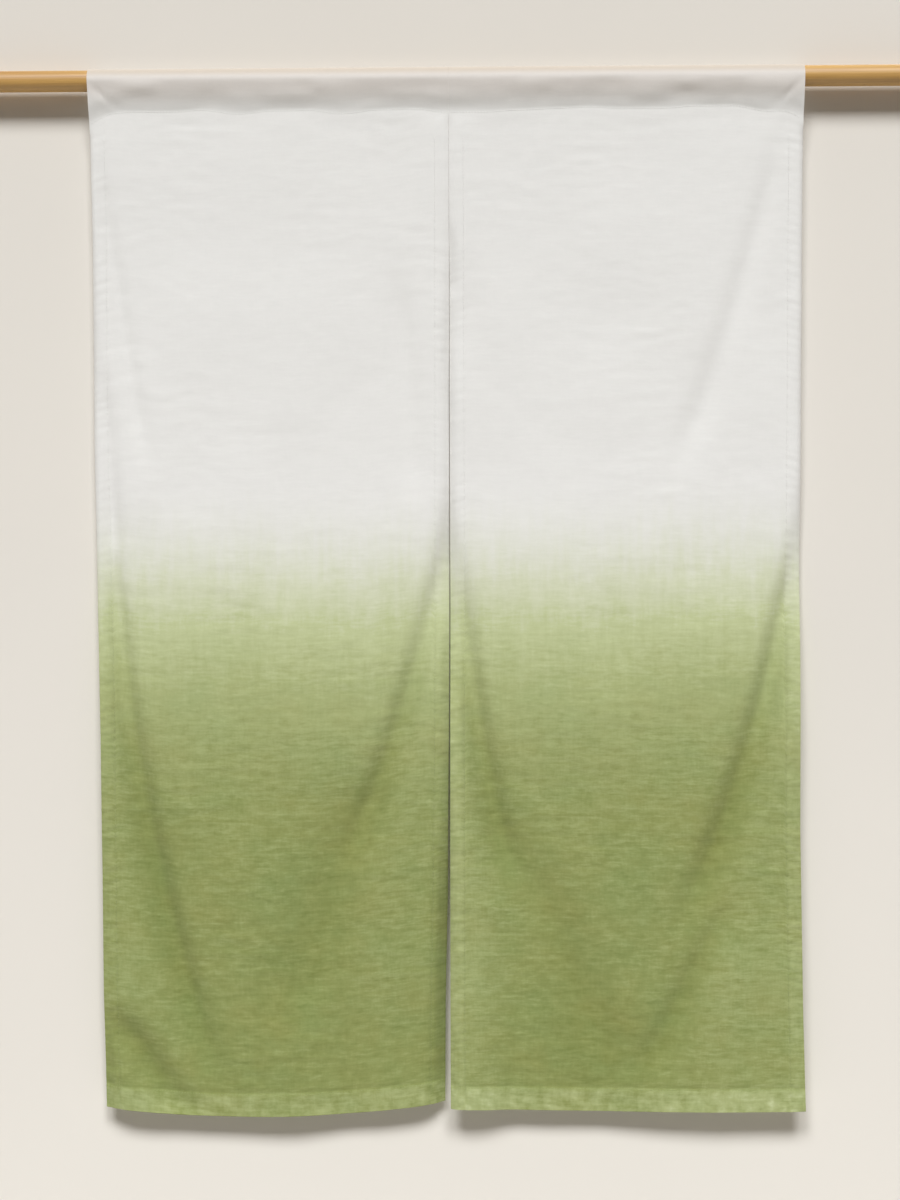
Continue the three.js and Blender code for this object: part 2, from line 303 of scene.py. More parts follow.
class DyeSettings(bpy.types.PropertyGroup):
    """Colours and places of the dip dye, and of the painted shade and light on the sleeve, troughs, flanks
    and hems.
    """

    bare: colour("Bare Linen", "Colour of the undyed cloth", (0.768, 0.756, 0.724))
    pale: colour("Pale Dye", "Colour of the cloth with a third of the dye", (0.497, 0.540, 0.296))
    cool: colour("Cool Dye", "Colour of the full dye in its cooler patches", (0.232, 0.280, 0.0955))
    warm: colour("Warm Dye", "Colour of the full dye in its warmer patches", (0.260, 0.278, 0.0905))
    # Painted shade: the sleeve's front darker and warmer, for the wood seen through the thin cloth and the
    # shade under the bulge
    over_rod_shade: colour("Over Rod", "Tint of the thin cloth where the wood lies behind", (1.0, 0.955, 0.93))
    # Painted shade: the cloth over the rod's top darkened where the light from above falls brightest
    crown_shade: colour("Crown", "Tint of the cloth drawn tight over the rod's top", (0.74, 0.69, 0.62))
    start: length("Start", "Drop below the rod at which the dye begins", 0.470)
    reach: length("Reach", "Length over which most of the dye builds up", 0.2575)
    # Painted shade and light: darker in the troughs, lighter on the flanks, and darker towards the foot
    fold_shading_and_foot_tone: share("Fold Tone", "How much fuller the dye looks in the troughs", 0.14)
    # Painted light: the hems paler than the thin single cloth, the foot hem most
    painted_hem_light: share("Hem Bloom", "How much paler the dye looks on the foot hem", 0.22)
    mottle: share("Mottle", "How unevenly the threads have taken the dye", 0.9)
    bare_mottle: share("Bare Mottle", "Share of that unevenness in the threads' own tone", 0.12)


class RodSettings(bpy.types.PropertyGroup):
    """Sizes and colours of the rod."""

    end_round: length("End Rounding", "Rounding of the rod's ends", 0.0015)
    light: colour("Light Grain", "Colour of the wood between its grain lines", (0.60, 0.352, 0.105))
    dark: colour("Dark Grain", "Colour of the grain lines", (0.41, 0.21, 0.0525))


class StageSettings(bpy.types.PropertyGroup):
    """Sizes and colours of the stage, and the camera's place."""

    floor_drop: length("Floor Drop", "Height of the rod above the floor", 2.0)
    wall_gap: length("Wall Gap", "Distance from the rod's axis to the backdrop", 0.024)
    wall: colour("Backdrop", "Colour of the backdrop", (0.745, 0.705, 0.64))
    floor: colour("Floor", "Colour of the floor", (0.56, 0.543, 0.515))
    camera_distance: length("Camera Distance", "Distance from the camera to the cloth", 2.8)
    camera_drop: length("Camera Drop", "Drop of the camera's aim below the rod", 0.619)
    view_height: length("View Height", "Height of the picture at the cloth", 1.4244)
    camera_turn: angle("Camera Turn", "How far the camera stands to the right of square", math.radians(1.3))
    camera_roll: angle("Camera Roll", "How far the picture is turned", math.radians(0.15))


def ease(part):
    """A smooth step from 0 to 1."""
    part = np.clip(part, 0, 1)
    return part * part * (3 - 2 * part)


def ramp(value, start, end):
    """A smooth step from 0 at the start to 1 at the end."""
    return ease((value - start) / (end - start))


def bell(part):
    """A smooth hump, 1 in its middle."""
    return np.exp(-part * part)


def arc(part):
    """An arc from 0 up to 1 in its middle and back to 0."""
    return 4 * part * (1 - part)


def lerp(start, end, part):
    """A value part of the way from start to end."""
    return start + (end - start) * part


def cloth_points(x, depth, drop):
    """Points of the cloth, in millimetres."""
    return np.stack(np.broadcast_arrays(x, depth, -drop), axis=-1)


@lru_cache(maxsize=None)
def noise_table(seed):
    """Heights of the swells that a seed gives."""
    return np.random.default_rng(seed).uniform(-1, 1, (NOISE_CELLS, NOISE_CELLS))


def smooth_noise(seed, across, up=0.0):
    """Smooth swells between -1 and 1, about one for each two units across and up."""
    table = noise_table(seed)
    across, up = np.broadcast_arrays(np.asarray(across, float), np.asarray(up, float))
    column = np.floor(across).astype(int)
    row = np.floor(up).astype(int)

    def corner(right, above):
        return table[(row + above) % NOISE_CELLS, (column + right) % NOISE_CELLS]

    low = lerp(corner(0, 0), corner(1, 0), ease(across - column))
    high = lerp(corner(0, 1), corner(1, 1), ease(across - column))
    return lerp(low, high, ease(up - row))


def pucker_wave(seed, along, pitch):
    """An uneven wave between -1 and 1 along a seam."""
    drift = PUCKER_DRIFT * smooth_noise(seed, along / PUCKER_DRIFT_PITCH)
    swell = smooth_noise(seed, along / PUCKER_DRIFT_PITCH, PUCKER_SWELL_ROW)
    return lerp(1, swell, PUCKER_SWELL) * np.sin(2 * math.pi * (along / pitch + drift))


class PanelSurface:
    """The outer face of one panel, in millimetres.

    A column is a share of the width and an offset from that place, so that hems keep their widths.
    """

    def __init__(self, shape, cloth):
        self.shape = shape
        self.thickness = cloth.thickness / MM
        self.side_hem = cloth.side_hem / MM
        self.foot_hem = cloth.foot_hem / MM
        self.sleeve_drop = cloth.sleeve_drop / MM
        self.sleeve_radius = ROD_RADIUS / MM + SLEEVE_CLEARANCE + self.thickness
        self.layer = LAYER_GAP / 2 + self.thickness
        self.bulge = self.sleeve_radius - self.layer
        self.drops, self.lefts, self.rights = np.array(shape.sections, float).T
        left, right = self.edges(0.0)
        self.width = right - left

    def edges(self, drop):
        """Where the two edges lie at a drop."""
        return np.interp(drop, self.drops, self.lefts), np.interp(drop, self.drops, self.rights)

    def top_share(self, part, offset):
        """How far across the top a column is."""
        return part + offset / self.width

    def from_outer_end(self, part, offset):
        """How far a column is from the sleeve's outer end."""
        across = self.top_share(part, offset)
        return (across if self.shape.outer_edge == "left" else 1 - across) * self.width

    def foot_drop(self, part, offset):
        """Drop of the foot edge, a shallow arc through its corners and its middle."""
        foot = self.shape.foot
        across = self.top_share(part, offset)
        sag = foot.middle - (foot.left + foot.right) / 2
        return lerp(foot.left, foot.right, across) + sag * arc(across)

    def sleeve_foot(self, part, offset):
        """Drop at which the front of the sleeve has come back to the plane of the sheet."""
        end = np.clip(1 - self.from_outer_end(part, offset) / SLEEVE_END_REACH, 0, 1)
        wave = SLEEVE_WAVE * smooth_noise(SLEEVE_SEED, self.place(part, offset, 0.0) / SLEEVE_WAVE_PITCH)
        return self.sleeve_drop + wave + SLEEVE_END_SAG * end * end

    def place(self, part, offset, drop):
        """Where a column is at a drop."""
        left, right = self.edges(np.maximum(drop, 0))
        return left + part * (right - left) + offset

    def drape(self, x, drop):
        """Depth of the main folds."""
        shape = self.shape
        left, right = self.edges(drop)
        belly, rolls = shape.belly, shape.rolls
        fullness = ramp(drop, belly.from_drop, shape.foot.middle)
        turning = ease((drop - rolls.from_drop) / ROLL_FADE)
        depth = -belly.lift * fullness * bell((x - belly.middle_x) / belly.reach)
        depth += turning * rolls.left * np.clip(1 - (x - left) / rolls.reach, 0, 1) ** 2
        depth += turning * rolls.right * np.clip(1 - (right - x) / rolls.reach, 0, 1) ** 2
        for trough in shape.troughs:
            valley, lift = trough_form(trough, x, drop)
            depth += valley - lift
        for swag in shape.swags:
            depth += swag_depth(swag, x, drop)
        return depth

    def tone(self, x, drop):
        """Painted shade and light: darker in the troughs, lighter on the flanks, and darker towards the
        foot.
        """
        tone = np.zeros(np.broadcast(x, drop).shape)
        for trough in self.shape.troughs:
            valley, lift = trough_form(trough, x, drop)
            tone += valley / FOLD_SHADE_DEPTH - lift / FLANK_LIGHT_LIFT
        tone += FOOT_TONE * ramp(drop, FOOT_TONE_FROM, FOOT_TONE_TO)
        return np.clip(tone, -1, 1)

    def crumple(self, x, drop):
        """Depth of the small wrinkles that lie across the cloth in patches."""
        seed = self.shape.seed + 10
        patches = PATCH_MEAN * (1 + smooth_noise(seed, x / PATCH_WIDTH, drop / PATCH_HEIGHT))
        bent = drop + CRUMPLE_BEND * smooth_noise(seed + 1, x / BEND_WIDTH, drop / BEND_HEIGHT)
        depth = 0.0
        for layer, (height, width, pitch) in enumerate(CRUMPLES):
            depth += height * smooth_noise(seed + 2 + layer, x / width, bent / pitch)
        return patches * depth

    def relief(self, x, drop, rise):
        """Depth of wrinkles, puckers, stitch lines, turned edges and the cloth's own unevenness."""
        seed = self.shape.seed
        left, right = self.edges(drop)
        sewn = 1 - ease((drop - SLIT_HEAD) / SEAM_FADE)
        dyed = ramp(drop, RELIEF_FROM, RELIEF_TO)
        strength = lerp(BARE_RELIEF, 1, dyed)
        depth = UNEVEN * smooth_noise(seed, x / UNEVEN_WIDTH, drop / UNEVEN_HEIGHT)
        depth += DIMPLE * smooth_noise(seed + 1, x / DIMPLE_WIDTH, drop / DIMPLE_HEIGHT)
        depth += strength * self.crumple(x, drop)
        for side, inset, hem_seed in (("left", x - left, seed + 7), ("right", right - x, seed + 8)):
            outer = side == self.shape.outer_edge
            free = strength if outer else strength * (1 - sewn)
            near = 1 - ease(inset / self.side_hem - SIDE_PUCKER_FROM)
            pucker = pucker_wave(hem_seed, drop + SIDE_PUCKER_SLANT * inset, SIDE_PUCKER_PITCH)
            depth += SIDE_PUCKER * free * near * pucker
            groove = STITCH_GROOVE * (1 + STITCH_PULL * pucker)
            depth += groove * free * bell((inset - self.side_hem) / STITCH_REACH)
            turn, reach = (EDGE_TURN, EDGE_REACH) if outer else (SLIT_TURN, SLIT_REACH)
            depth += turn * (1 - dyed) * np.clip(1 - inset / reach, 0, 1) ** 2
        near = 1 - ease(rise / self.foot_hem - FOOT_PUCKER_FROM)
        pucker = pucker_wave(seed + 5, x + FOOT_PUCKER_SLANT * rise, FOOT_PUCKER_PITCH)
        depth += FOOT_PUCKER * near * pucker
        depth -= HEM_RIDGE * bell((rise - self.foot_hem + HEM_RIDGE_REACH) / HEM_RIDGE_REACH)
        return depth + STITCH_GROOVE * bell((rise - self.foot_hem - STITCH_REACH) / STITCH_REACH)

    def sheet(self, part, offset, drop):
        """A point of the hanging cloth."""
        x = self.place(part, offset, drop)
        rise = self.foot_drop(part, offset) - drop
        below_sleeve = ease((drop - self.sleeve_foot(part, offset)) / HEM_BELOW_SLEEVE)
        depth = -self.layer + self.drape(x, drop) + below_sleeve * self.relief(x, drop, rise)
        return cloth_points(x, depth, drop)

    def sleeve_front(self, part, offset, climb):
        """A point on the front of the sleeve, from the stitching at climb 0 to the rod's height at 1."""
        drop = self.sleeve_foot(part, offset) * (1 - climb)
        x = self.place(part, offset, drop)
        crease = self.from_outer_end(part, offset) - CREASE_SPAN * (1 - climb)
        dents = SLEEVE_CREASE * bell(crease / CREASE_REACH)
        for dent, pitch in SLEEVE_DENTS:
            dents += dent * smooth_noise(SLEEVE_SEED, x / pitch, SLEEVE_DENT_ROWS * climb)
        swell = (ease(climb) + 1 - (1 - climb) ** SLEEVE_CURVE) / 2
        depth = -self.layer - self.bulge * swell + dents * arc(climb)
        return cloth_points(x, depth, drop)

    def sleeve_over(self, part, offset, turn):
        """A point of the cloth that lies over the rod, from its front at turn 0 to its back at 1."""
        bend = math.pi * turn
        drop = -self.sleeve_radius * np.sin(bend)
        depth = -self.sleeve_radius * np.cos(bend)
        return cloth_points(self.place(part, offset, drop), depth, drop)

    def sleeve_back(self, part, offset, fall):
        """A point on the back of the sleeve, down to its tail at fall 1."""
        drop = fall * (self.sleeve_drop + SLEEVE_TAIL)
        depth = self.sleeve_radius - self.bulge * ease(drop / self.sleeve_drop)
        return cloth_points(self.place(part, offset, drop), depth, drop)


def trough_form(trough, x, drop):
    """Depth of a soft valley along a line bent by a power curve, and lift of the flank outside it."""
    along = np.clip((drop - trough.drop) / (trough.end_drop - trough.drop), 0, 1)
    line_x = lerp(trough.x, trough.end_x, along**trough.curve)
    reach = np.where(x < line_x, trough.left, trough.right) * lerp(TROUGH_HEAD, TROUGH_FOOT, along)
    fade = ease(along / TROUGH_START) * ease((1 - along) / TROUGH_END)
    outward = (line_x - x) * np.sign(trough.end_x - trough.x)
    lift = trough.flank * ease(along / FLANK_START) * ease(outward / FLANK_REACH)
    return trough.depth * fade * bell((x - line_x) / reach), lift


def swag_depth(swag, x, drop):
    """Depth of a faint drag line that sags between the edges."""
    aside = (x - swag.middle_x) / swag.half_span
    line_drop = swag.low_drop - swag.rise * aside * aside
    return swag.depth * ease((1 - np.abs(aside)) / SWAG_FADE) * bell((drop - line_drop) / swag.reach)


def hem_stops(width):
    """Places across a hem of that width and past its stitch line."""
    return np.array([width * part for part in HEM_SHARES] + [width + step for step in LINE_STEPS])


def panel_columns(surface):
    """Shares and offsets of a panel's columns, from its left edge to its right."""
    hem = hem_stops(surface.side_hem)
    inner = hem[-1]
    count = round((surface.width - 2 * inner) / COLUMN_PITCH)
    between = np.arange(1, count) / count
    parts = np.concatenate([np.zeros(len(hem)), between, np.ones(len(hem))])
    offsets = np.concatenate([hem, inner * (1 - 2 * between), -hem[::-1]])
    return parts, offsets


def panel_grid(surface):
    """Points of a panel, row by row from its foot up the front, over the rod and down the back."""
    part, offset = panel_columns(surface)
    foot = surface.foot_drop(part, offset)
    top = surface.sleeve_foot(part, offset)
    hem = hem_stops(surface.foot_hem)
    count = round((np.mean(foot - top) - hem[-1]) / ROW_PITCH)
    rows = [surface.sheet(part, offset, foot - rise) for rise in hem]
    for k in range(1, count + 1):
        rows.append(surface.sheet(part, offset, lerp(foot - hem[-1], top, k / count)))
    hanging_rows = len(rows)
    sleeve = (surface.sleeve_front, surface.sleeve_over, surface.sleeve_back)
    for stretch, steps in zip(sleeve, SLEEVE_ROWS):
        rows += [stretch(part, offset, k / steps) for k in range(1, steps + 1)]
    return np.array(rows), hanging_rows


def hem_places(surface, grid):
    """How far each point lies from the nearer side, and from the foot."""
    drop = -grid[..., 2]
    left, right = surface.edges(drop)
    inset = np.minimum(grid[..., 0] - left, right - grid[..., 0])
    return inset, surface.foot_drop(*panel_columns(surface)) - drop


def hem_mask(surface, grid, hanging_rows):
    """1 on a panel's hems, fading out under the sleeve, and 0 elsewhere."""
    inset, rise = hem_places(surface, grid)
    on_hem = (inset <= surface.side_hem + HEM_ROUNDING) | (rise <= surface.foot_hem + HEM_ROUNDING)
    below_tail = -grid[..., 2] - surface.sleeve_drop - SLEEVE_TAIL
    mask = on_hem * ease(below_tail / HEM_BELOW_SLEEVE)
    mask[hanging_rows:] = 0
    return mask


def painted_hem_light(surface, grid, hanging_rows):
    """How far a point belongs to the hems, with soft inner borders, for the painted light that makes the
    hems paler than the single cloth.
    """
    inset, rise = hem_places(surface, grid)
    side = 1 - ease((inset / surface.side_hem - 1) / SIDE_LIGHT_FADE + 0.5)
    foot = 1 - ease((rise / surface.foot_hem - 1) / FOOT_LIGHT_FADE + 0.5)
    bloom = np.maximum(surface.shape.side_bloom * side, surface.shape.foot_bloom * foot)
    bloom[hanging_rows:] = 0
    return bloom


def dye_climb(x):
    """How much higher the dye climbed at places across the cloth, in metres."""
    return MM * sum(climb.height * bell((x - climb.x) / climb.reach) for climb in CLIMBS)


def sleeve_shade_mask(grid, hanging_rows):
    """Painted shade on the sleeve's front, for the wood seen through the thin cloth and the shade under its
    bulge: 1 where the sleeve lies on the rod, fading down to its stitching.
    """
    behind = 1 - ramp(-grid[..., 2], SLEEVE_SHADE_FROM, SLEEVE_SHADE_TO)
    behind[:hanging_rows] = 0
    return behind


def crown_shade_mask(grid):
    """Painted shade on the sleeve's top, where the light from above falls brightest: 1 along the top, and 0
    from the rod's axis down.
    """
    return ease(grid[..., 2] / CROWN_SHADE_RISE)


def cloth_lengths(grid):
    """Distances across and up the cloth at each grid point, in metres, for the weave."""
    across = np.linalg.norm(np.diff(grid, axis=1), axis=2)
    up = np.linalg.norm(np.diff(grid, axis=0), axis=2)
    across = np.pad(np.cumsum(across, axis=1), ((0, 0), (1, 0)))
    up = np.pad(np.cumsum(up, axis=0), ((1, 0), (0, 0)))
    return across * MM, up * MM


def mesh_object(name, points, faces):
    """A new object with that mesh, in metres."""
    mesh = bpy.data.meshes.new(name)
    mesh.from_pydata(points, [], faces)
    mesh.update()
    piece = bpy.data.objects.new(name, mesh)
    bpy.context.scene.collection.objects.link(piece)
    return piece


def select_only(piece):
    """Makes a piece the only selected and active one."""
    bpy.ops.object.select_all(action="DESELECT")
    piece.select_set(True)
    bpy.context.view_layer.objects.active = piece


def apply_modifiers(piece):
    """Selects a piece and applies its modifiers in order."""
    select_only(piece)
    for name in [modifier.name for modifier in piece.modifiers]:
        bpy.ops.object.modifier_apply(modifier=name)


def join_body(piece):
    """Ties a finished piece to the curtain's one body."""
    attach(piece, "root")


def add_node(tree, kind, **values):
    """A shader node with its properties and unlinked inputs set."""
    node = tree.nodes.new(kind)
    for name, value in values.items():
        if name in node.inputs:
            node.inputs[name].default_value = value
        else:
            setattr(node, name, value)
    return node


def calculate(tree, operation, first, second=None):
    """A Math node of sockets or numbers."""
    node = add_node(tree, "ShaderNodeMath", operation=operation)
    for socket, value in zip(node.inputs, (first, second)):
        if isinstance(value, bpy.types.NodeSocket):
            tree.links.new(value, socket)
        elif value is not None:
            socket.default_value = value
    return node.outputs[0]


def noise(tree, place, swells):
    """Noise from 0 to 1 at a place."""
    mapping = add_node(tree, "ShaderNodeMapping", Scale=swells.scale)
    tree.links.new(place, mapping.inputs["Vector"])
    texture = add_node(
        tree, "ShaderNodeTexNoise", Scale=1.0, Detail=swells.detail, Roughness=swells.roughness
    )
    tree.links.new(mapping.outputs[0], texture.inputs["Vector"])
    return texture.outputs[0]


def spread(tree, value, low, high):
    """A noise value spread to run from low to high."""
    ends = {"From Min": NOISE_LOW, "From Max": NOISE_HIGH, "To Min": low, "To Max": high}
    node = add_node(tree, "ShaderNodeMapRange", **ends)
    tree.links.new(value, node.inputs["Value"])
    return node.outputs[0]


def scale_colour(tree, shade, amount):
    """A colour made lighter or darker by an amount about 1."""
    node = add_node(tree, "ShaderNodeVectorMath", operation="SCALE")
    tree.links.new(shade, node.inputs[0])
    tree.links.new(amount, node.inputs["Scale"])
    return node.outputs[0]


def blend(tree, kind, part, first, second):
    """Part of a blend of a colour socket with a second colour or colour socket."""
    node = add_node(tree, "ShaderNodeMixRGB", blend_type=kind)
    tree.links.new(part, node.inputs["Fac"])
    tree.links.new(first, node.inputs["Color1"])
    if isinstance(second, bpy.types.NodeSocket):
        tree.links.new(second, node.inputs["Color2"])
    else:
        node.inputs["Color2"].default_value = (*second, 1)
    return node.outputs[0]


def colour_ramp(tree, value, stops):
    """Colours at places along a value from 0 to 1."""
    node = add_node(tree, "ShaderNodeValToRGB")
    elements = node.color_ramp.elements
    while len(elements) < len(stops):
        elements.new(0.5)
    for element, (position, shade) in zip(elements, stops):
        element.position = position
        element.color = (*shade, 1)
    tree.links.new(value, node.inputs[0])
    return node.outputs[0]


def attribute(tree, name):
    """A value stored on the mesh."""
    return add_node(tree, "ShaderNodeAttribute", attribute_name=name).outputs["Fac"]


def new_material(name, **values):
    """A material with a Principled shader and its constant sockets set."""
    material = bpy.data.materials.new(name)
    material.use_nodes = True
    shader = material.node_tree.nodes["Principled BSDF"]
    for socket, value in values.items():
        shader.inputs[socket.replace("_", " ")].default_value = value
    return material, material.node_tree, shader


def bump(tree, shader, height, distance):
    """Gives a shader the relief of a height from 0 to 1."""
    node = add_node(tree, "ShaderNodeBump", Distance=distance)
    tree.links.new(height, node.inputs["Height"])
    tree.links.new(node.outputs[0], shader.inputs["Normal"])


def dye_amount(tree, dye):
    """How much dye the cloth has taken at its height, from 0 to 1, with an uneven, wicking start."""
    place = add_node(tree, "ShaderNodeTexCoord").outputs["Object"]
    split = add_node(tree, "ShaderNodeSeparateXYZ")
    tree.links.new(place, split.inputs[0])
    cloudy = spread(tree, noise(tree, place, CLOUDS), -CLOUD_REACH, CLOUD_REACH)
    wicking = spread(tree, noise(tree, place, WICKS), -WICK_REACH, WICK_REACH)
    drop = calculate(tree, "ADD", calculate(tree, "MULTIPLY", split.outputs["Z"], -1), cloudy)
    drop = calculate(tree, "ADD", calculate(tree, "ADD", drop, wicking), attribute(tree, "climb"))
    depth = calculate(tree, "DIVIDE", calculate(tree, "SUBTRACT", drop, dye.start), dye.reach)
    taken = calculate(tree, "POWER", calculate(tree, "MAXIMUM", depth, 0.0), DYE_CURVE)
    clear = calculate(tree, "EXPONENT", calculate(tree, "MULTIPLY", taken, -1))
    return calculate(tree, "SUBTRACT", 1, clear)


def filtered(first, second, part):
    """The colour part of the way from one to another, as each layer of dye filters the light."""
    return [a ** (1 - part) * b**part for a, b in zip(first, second)]


def dye_colour(tree, dye, full, amount):
    """The colour of cloth with that amount of dye, by way of its pale colour to a full one."""
    stops = []
    for taken in DYE_STOPS:
        if taken < PALE_SHARE:
            shade = filtered(dye.bare, dye.pale, taken / PALE_SHARE)
        else:
            shade = filtered(dye.pale, full, (taken - PALE_SHARE) / (1 - PALE_SHARE))
        stops.append((taken / DYE_STOPS[-1], shade))
    return colour_ramp(tree, calculate(tree, "DIVIDE", amount, DYE_STOPS[-1]), stops)


def dyed_shade(tree, dye, amount, place):
    """The colour of dyed cloth, with cooler and warmer patches about a place."""
    hue = spread(tree, noise(tree, place, HUES), 0, 1)
    cool = dye_colour(tree, dye, dye.cool, amount)
    warm = dye_colour(tree, dye, dye.warm, amount)
    return blend(tree, "MIX", hue, cool, warm)


def linen_material(dye):
    """Slubby plain-weave linen, bare above and dip-dyed below, with painted shade on the sleeve and in the
    troughs and painted light on the flanks and hems.
    """
    material, tree, shader = new_material(
        "slub_linen", Roughness=0.9, Specular_IOR_Level=0.2, Sheen_Weight=0.12, Sheen_Roughness=0.5
    )
    weave = add_node(tree, "ShaderNodeUVMap", uv_map="weave").outputs[0]
    slubs = noise(tree, weave, SLUBS)
    patches = spread(tree, noise(tree, weave, SLUB_PATCHES), *SLUB_RANGE)
    uneven = calculate(tree, "MULTIPLY", spread(tree, slubs, -SLUB_TONE, SLUB_TONE), patches)
    for swells, tone in ((WARP, WARP_TONE), (MOTTLE, MOTTLE_TONE), (STREAKS, STREAK_TONE)):
        uneven = calculate(tree, "ADD", uneven, spread(tree, noise(tree, weave, swells), -tone, tone))
    uneven = calculate(tree, "MULTIPLY", uneven, dye.mottle)
    # Painted light: the hems made paler, in patches
    low, high = HEM_LIGHT_RANGE
    patchy = noise(tree, weave, HEM_LIGHT_PATCHES)
    patchy = spread(tree, patchy, low * dye.painted_hem_light, high * dye.painted_hem_light)
    bloom = calculate(tree, "MULTIPLY", attribute(tree, "bloom"), patchy)
    # Painted shade in the troughs, painted light on the flanks, and a darker tone towards the foot
    change = calculate(tree, "MULTIPLY", attribute(tree, "fold_shading_foot_tone"), dye.fold_shading_and_foot_tone)
    change = calculate(tree, "ADD", calculate(tree, "SUBTRACT", change, bloom), uneven)
    amount = calculate(tree, "MULTIPLY", dye_amount(tree, dye), calculate(tree, "ADD", change, 1))
    shade = dyed_shade(tree, dye, amount, weave)
    # Painted shade on the sleeve's front, for the wood behind and the shade under the bulge
    shade = blend(tree, "MULTIPLY", attribute(tree, "sleeve_shade"), shade, dye.over_rod_shade)
    # Painted shade on the sleeve's top, against the light from above
    shade = blend(tree, "MULTIPLY", attribute(tree, "crown_shade"), shade, dye.crown_shade)
    faint = calculate(tree, "ADD", calculate(tree, "MULTIPLY", uneven, -dye.bare_mottle), 1)
    tree.links.new(scale_colour(tree, shade, faint), shader.inputs["Base Color"])
    bump(tree, shader, calculate(tree, "ADD", slubs, noise(tree, weave, YARNS)), WEAVE_RELIEF)
    return material


def thread_material(dye):
    """Sewing thread that was dyed with the cloth."""
    material, tree, shader = new_material(
        "sewing_thread", Roughness=0.75, Specular_IOR_Level=0.3, Sheen_Weight=0.1
    )
    place = add_node(tree, "ShaderNodeTexCoord").outputs["Object"]
    # The thread is made paler by half the painted hem light, as it lies on the hems
    amount = calculate(tree, "MULTIPLY", dye_amount(tree, dye), 1 - dye.painted_hem_light / 2)
    shade = dyed_shade(tree, dye, amount, place)
    twist = spread(tree, noise(tree, place, TWIST), *TWIST_RANGE)
    tree.links.new(scale_colour(tree, shade, twist), shader.inputs["Base Color"])
    return material


def wood_material(rod):
    """Smooth pale wood with straight grain along the rod."""
    material, tree, shader = new_material("satin_wood", Specular_IOR_Level=0.7)
    place = add_node(tree, "ShaderNodeTexCoord").outputs["Object"]
    grain = noise(tree, place, GRAIN)
    pores = noise(tree, place, PORES)
    fine = calculate(tree, "MULTIPLY", grain, 1 - BAND_SHARE)
    coarse = calculate(tree, "MULTIPLY", noise(tree, place, BANDS), BAND_SHARE)
    figure = calculate(tree, "ADD", fine, coarse)
    shade = colour_ramp(tree, figure, ((DARK_GRAIN, rod.dark), (LIGHT_GRAIN, rod.light)))
    shade = scale_colour(tree, shade, spread(tree, pores, *PORE_RANGE))
    tree.links.new(shade, shader.inputs["Base Color"])
    tree.links.new(spread(tree, grain, *GRAIN_ROUGHNESS), shader.inputs["Roughness"])
    bump(tree, shader, calculate(tree, "ADD", grain, pores), GRAIN_RELIEF)
    return material


def shared_material(name, make, settings):
    """The material of that name, made if the scene doesn't have it yet."""
    return bpy.data.materials.get(name) or make(settings)


class CURTAIN_OT_rod(bpy.types.Operator):
    """Turn the wooden rod and round its ends"""

    bl_idname = "curtain.rod"
    bl_label = "Rod"

    def execute(self, context):
        settings = context.scene.curtain_rod
        bpy.ops.object.select_all(action="DESELECT")
        bpy.ops.mesh.primitive_cylinder_add(
            vertices=96, radius=ROD_RADIUS, depth=ROD_LENGTH, rotation=(0, math.pi / 2, 0)
        )
        rod = context.object
        rod.name = rod.data.name = "wooden_rod"
        bpy.ops.object.transform_apply(location=True, rotation=True, scale=True)
        bpy.ops.object.mode_set(mode="EDIT")
        bpy.ops.mesh.select_mode(type="EDGE")
        bpy.ops.mesh.select_all(action="DESELECT")
        bpy.ops.object.mode_set(mode="OBJECT")
        for edge in rod.data.edges:
            first, second = (rod.data.vertices[k].co for k in edge.vertices)
            edge.select = abs(first.x - second.x) < ROD_RADIUS
        bpy.ops.object.mode_set(mode="EDIT")
        bpy.ops.mesh.bevel(offset=settings.end_round, segments=4, profile=0.5, affect="EDGES")
        bpy.ops.object.mode_set(mode="OBJECT")
        bpy.ops.object.shade_smooth_by_angle(angle=math.radians(40))
        rod.data.materials.append(shared_material("satin_wood", wood_material, settings))
        join_body(rod)
        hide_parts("rod")
        return {"FINISHED"}


